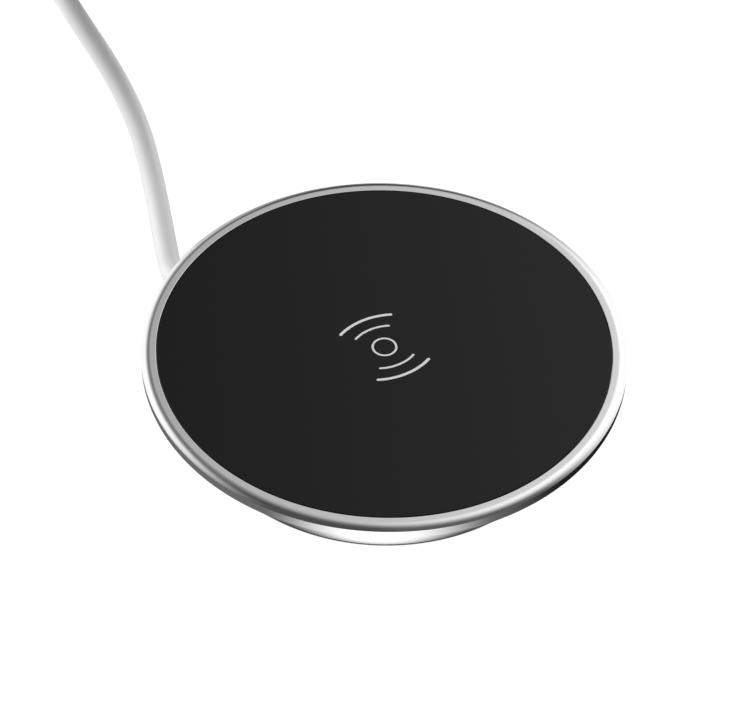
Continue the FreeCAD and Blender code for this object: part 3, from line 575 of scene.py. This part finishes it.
def make_floor_card():
    """A flat studio card round the pad's foot that only reflections see."""
    mesh = bmesh.new()
    count = 96
    rings = []
    for radius in (CARD_INNER, CARD_OUTER):
        angles = [2 * math.pi * step / count for step in range(count)]
        places = [(radius * math.cos(angle), radius * math.sin(angle), CARD_HEIGHT) for angle in angles]
        rings.append([mesh.verts.new(place) for place in places])
    inner, outer = rings
    for here in range(count):
        after = (here + 1) % count
        mesh.faces.new((inner[here], outer[here], outer[after], inner[after]))
    card = add_object("floor_card", mesh_data("floor_card", mesh))
    card.data.materials.append(card_material())
    card.visible_camera = False
    card.visible_diffuse = False
    card.visible_transmission = False
    card.visible_shadow = False


# The reflected room is drawn by direction: x is right, y is back and z is up, each from -1 to 1.


def right_box(tree, x, y, z):
    """The soft box on the right. Its edge leans and softens with height, and it fades out to the front."""
    lean = tree.smooth(z, -0.05, 0.85, 0.33, 0.0)
    softness = tree.smooth(z, 0.45, 0.75, 0.2, 0.34)
    edge = tree.smooth(tree.math("DIVIDE", tree.math("SUBTRACT", x, lean), softness), -1.0, 1.0)
    front_end = tree.smooth(z, 0.75, 0.95, -0.22, -0.42)
    return tree.math("MULTIPLY", edge, tree.smooth(y, front_end, 0.58))


def left_box(tree, x, y, z):
    """The soft box on the left. Its edge curves away with height, and it fades out to the front."""
    curve = tree.math("MULTIPLY_ADD", tree.math("MULTIPLY", z, z), 0.5, 0.28)
    edge = tree.smooth(tree.math("ADD", x, curve), 0.25, -0.25)
    return tree.math("MULTIPLY", edge, tree.smooth(y, -0.48, 0.45))


def high_haze(tree, x, y, z):
    """A faint glow high at the back, less of it on the left."""
    glow = tree.math("MULTIPLY", tree.smooth(z, 0.4, 0.62, 0.0, 0.1), tree.smooth(y, -0.05, 0.35))
    less = tree.math("MULTIPLY", tree.smooth(z, 0.6, 0.68, 0.0, 0.04), tree.smooth(x, 0.12, -0.04))
    return tree.math("SUBTRACT", glow, less)


def make_world():
    """Even white for the camera and soft light from above. Reflections see two soft boxes in a dim room."""
    world = bpy.data.worlds.new("studio")
    scene.world = world
    tree = Tree(world)
    way = tree.add("ShaderNodeTexCoord").outputs["Generated"]
    x, y, z = tree.add("ShaderNodeSeparateXYZ", {0: way}).outputs
    boxes = tree.math("ADD", right_box(tree, x, y, z), left_box(tree, x, y, z))
    lights = tree.math("ADD", boxes, high_haze(tree, x, y, z))
    room = tree.math("MULTIPLY_ADD", lights, BOX_GLOW, ROOM_GLOW)
    off_middle = tree.math("ABSOLUTE", x)
    middle = tree.math("MULTIPLY", tree.smooth(off_middle, 0.05, 0.3, 1.0, 0.0), tree.smooth(y, 0.3, 0.7))
    reflected = tree.math("MULTIPLY_ADD", middle, MIDDLE_DIP, room)
    overhead = tree.smooth(z, 0.0, 0.9, 0.62, 0.34)
    soft, sharp, seen = [
        tree.add("ShaderNodeBackground", {"Color": WHITE, "Strength": strength}).outputs[0]
        for strength in (overhead, reflected, 1.0)
    ]
    paths = tree.add("ShaderNodeLightPath").outputs
    unseen = tree.add("ShaderNodeMixShader", {0: paths["Is Glossy Ray"], 1: soft, 2: sharp}).outputs[0]
    whole = tree.add("ShaderNodeMixShader", {0: paths["Is Camera Ray"], 1: unseen, 2: seen}).outputs[0]
    tree.add("ShaderNodeOutputWorld", {"Surface": whole})


def make_flag():
    """A black flag over the far stretch of the cable, which takes the top light off it."""
    data = bpy.data.meshes.new("flag")
    corners = [(-115, 56), (-40, 56), (-60, 100), (-115, 100)]
    height = 28 * MM
    data.from_pydata([(x * MM, y * MM, height) for x, y in corners], [], [(0, 1, 2, 3)])
    material = bpy.data.materials.new("flag_black")
    tree = Tree(material)
    black = tree.add("ShaderNodeBsdfDiffuse", {"Color": (0, 0, 0, 1)})
    tree.add("ShaderNodeOutputMaterial", {"Surface": black.outputs[0]})
    data.materials.append(material)
    flag = add_object("flag", data)
    flag.visible_camera = False
    flag.visible_glossy = False
    flag.visible_transmission = False


def soft_light(name, place, size, watts):
    """A square soft light that faces the pad and that reflections don't see."""
    data = bpy.data.lights.new(name, "AREA")
    data.size = size
    data.energy = watts
    light = add_object(name, data)
    light.location = place
    light.rotation_euler = (-Vector(place)).to_track_quat("-Z", "Y").to_euler()
    light.visible_glossy = False


make_floor()
make_floor_card()
make_flag()
make_world()
soft_light("key_light", (-1.1, 0.0, 0.36), 0.7, 13.5)
soft_light("front_light", (0.1, -0.8, 1.1), 0.9, 3.0)
soft_light("back_light", (0.6, 1.1, 0.22), 0.5, 10.0)
